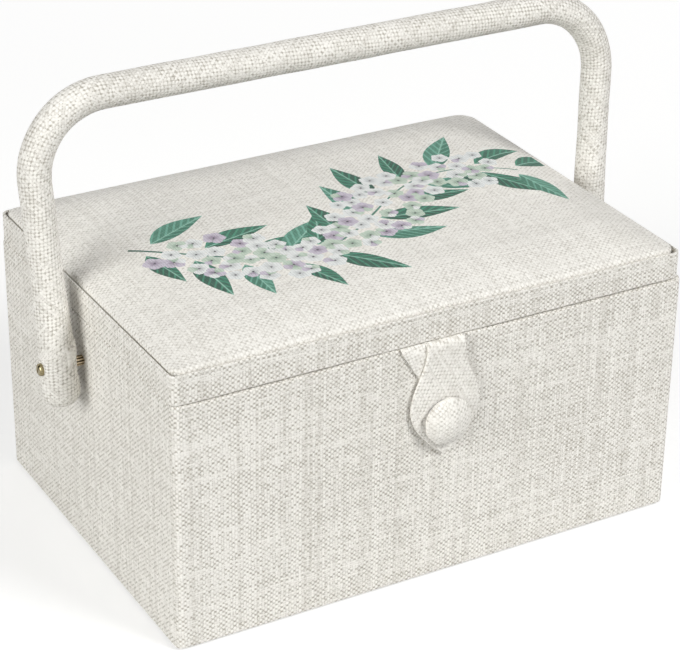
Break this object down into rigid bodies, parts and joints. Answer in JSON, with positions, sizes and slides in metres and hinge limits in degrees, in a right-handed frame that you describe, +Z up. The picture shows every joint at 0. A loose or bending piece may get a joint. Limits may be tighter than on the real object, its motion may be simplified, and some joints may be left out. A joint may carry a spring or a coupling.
{
  "type": "sewing box",
  "caption": "Linen-covered sewing box with a padded hinged lid, an arched swing handle, a button-and-strap closure and a lift-out tray.",
  "frame": {"origin": "centre of the body's footprint, on the surface it stands on", "axes": "+X to the right along the box's length seen from the front, +Y to the back where the hinges are, +Z up"},
  "size_m": [0.306, 0.2006, 0.23],
  "materials": {
    "linen": "natural woven linen",
    "base_paper": "matt cloth-faced paper",
    "board": "bare fibre board",
    "lining_cotton": "plain cotton",
    "wadding": "soft wadding",
    "pincushion_cotton": "stuffed linen",
    "brass": "polished brass",
    "magnet_steel": "plated",
    "button_metal": "pressed sheet",
    "handle_plastic": "moulded",
    "clear_plastic": "clear moulded plastic"
  },
  "bodies": {
    "box": {"base_cover": "base_paper", "base_board": "board", "floor_lining": "lining_cotton", "front_wall": "board", "back_wall": "board", "left_wall": "board", "right_wall": "board", "body_cover": "linen", "front_lining": "lining_cotton", "back_lining": "lining_cotton", "left_lining": "lining_cotton", "right_lining": "lining_cotton", "body_magnet": "magnet_steel", "hinge_body_leaves": "brass", "hinge_pins": "brass", "hinge_body_screws": "brass", "pivot_inserts": "brass", "pivot_screws": "brass"},
    "lid": {"lid_board": "board", "lid_front_rim": "board", "lid_back_rim": "board", "lid_left_rim": "board", "lid_right_rim": "board", "rim_cover": "linen", "lid_pad": "wadding", "lid_top_cover": "linen", "lid_lining": "lining_cotton", "pincushion": "pincushion_cotton", "hinge_lid_leaves": "brass", "hinge_lid_screws": "brass", "strap_anchor": "linen"},
    "bushes": {"pivot_bushes": "brass"},
    "handle": {"handle_core": "handle_plastic", "handle_cover": "linen"},
    "strap": {"strap_front": "linen", "strap_back": "linen", "tab_magnet": "magnet_steel", "button_cover": "linen", "button_shell": "button_metal", "button_back": "button_metal"},
    "tray": {"tray": "clear_plastic"}
  },
  "joints": [
    {"name": "lid_open", "type": "hinge", "parent": "box", "child": "lid", "pos_m": [0, 0.0953, 0.128], "axis": [-1, 0, 0], "range_deg": [0, 100]},
    {"name": "handle_pushback", "type": "hinge", "parent": "box", "child": "bushes", "pos_m": [0, 0, 0.101], "axis": [-1, 0, 0], "range_deg": [0, 115]},
    {"name": "handle_swing", "type": "hinge", "parent": "bushes", "child": "handle", "pos_m": [0, 0, 0.101], "axis": [1, 0, 0], "range_deg": [0, 122]},
    {"name": "strap_lift", "type": "hinge", "parent": "lid", "child": "strap", "pos_m": [0, -0.0929, 0.1225], "axis": [-1, 0, 0], "range_deg": [0, 100]},
    {"name": "tray_lift", "type": "slide", "parent": "box", "child": "tray", "axis": [0, 0, 1], "range_m": [0, 0.011]}
  ],
  "couplings": [
    {"joint": "handle_pushback", "follows": "lid_open", "ratio": 1.15}
  ]
}
